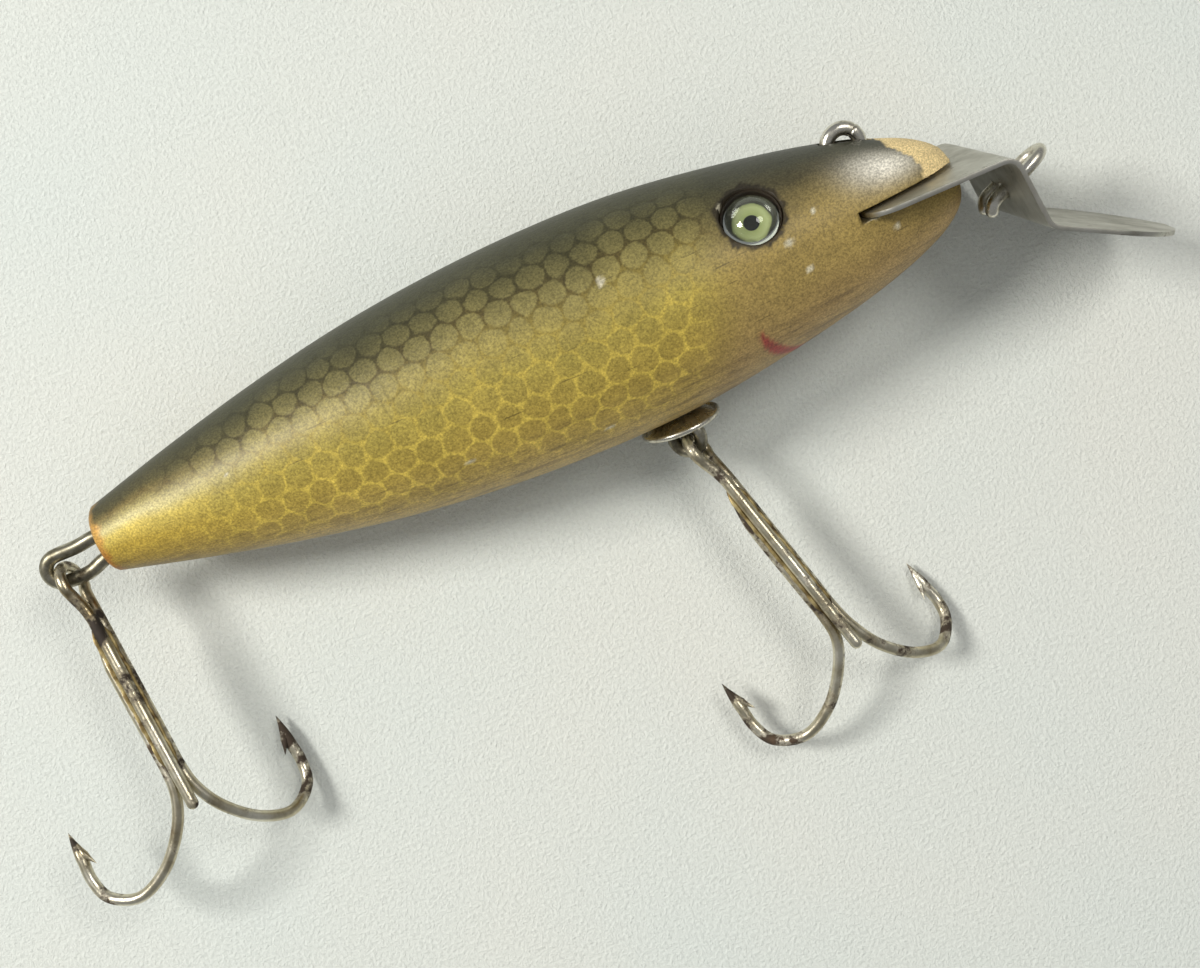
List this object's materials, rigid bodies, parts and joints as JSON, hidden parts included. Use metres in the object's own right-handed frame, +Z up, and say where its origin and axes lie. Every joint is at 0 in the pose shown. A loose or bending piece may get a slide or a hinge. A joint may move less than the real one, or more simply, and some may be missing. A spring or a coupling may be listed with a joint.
{
  "type": "wooden crankbait lure",
  "caption": "Fish-shaped wooden diving lure with a bent metal lip, a wire line tie, glass eyes and treble hooks that hang from screw eyes.",
  "frame": {"origin": "centre of the lure's box in plan, on the surface it lies on", "axes": "+X runs from tail to nose, +Z is up from the surface, and the lure lies on its left side with its back towards +Y"},
  "size_m": [0.1222, 0.057, 0.0226],
  "materials": {
    "painted_wood": "sprayed enamel with a scale pattern under clear varnish, chipped and peeled at the head",
    "lip_plate": "dull nickel plate over sheet metal, stained",
    "nickel_wire": "worn nickel plate",
    "steel_wire": "tarnished plated steel wire",
    "eye_glass": "polished glass",
    "eye_paint": "pale yellow-green paint on the back of the glass",
    "eye_pupil": "black paint on the back of the glass",
    "hook_wire": "worn nickel over bronze-coloured steel with brown rust",
    "hook_braze": "dull braze"
  },
  "bodies": {
    "lure_body": {"wooden_body": "painted_wood", "diving_lip": "lip_plate", "line_tie": "nickel_wire", "head_screw_eye": "nickel_wire", "belly_screw_eye": "steel_wire", "belly_washer": "nickel_wire", "tail_screw_eye": "steel_wire", "right_eye_glass": "eye_glass", "right_eye_iris": "eye_paint", "right_eye_pupil": "eye_pupil", "right_eye_stem": "steel_wire", "left_eye_glass": "eye_glass", "left_eye_iris": "eye_paint", "left_eye_pupil": "eye_pupil", "left_eye_stem": "steel_wire"},
    "belly_hook": {"belly_hook_double_wire": "hook_wire", "belly_hook_third_wire": "hook_wire", "belly_hook_braze": "hook_braze"},
    "tail_hook": {"tail_hook_double_wire": "hook_wire", "tail_hook_third_wire": "hook_wire", "tail_hook_braze": "hook_braze"}
  },
  "joints": [
    {"name": "belly_hook_swing", "type": "hinge", "parent": "lure_body", "child": "belly_hook", "pos_m": [0.01025, 0.00412, 0.00752], "axis": [-0.5265, -0.2449, 0.8142], "range_deg": [-90, 65]},
    {"name": "tail_hook_swing", "type": "hinge", "parent": "lure_body", "child": "tail_hook", "pos_m": [-0.0503, 0.01634, 0.01032], "axis": [0.0134, 0.2857, -0.9582], "range_deg": [-25, 170]}
  ]
}
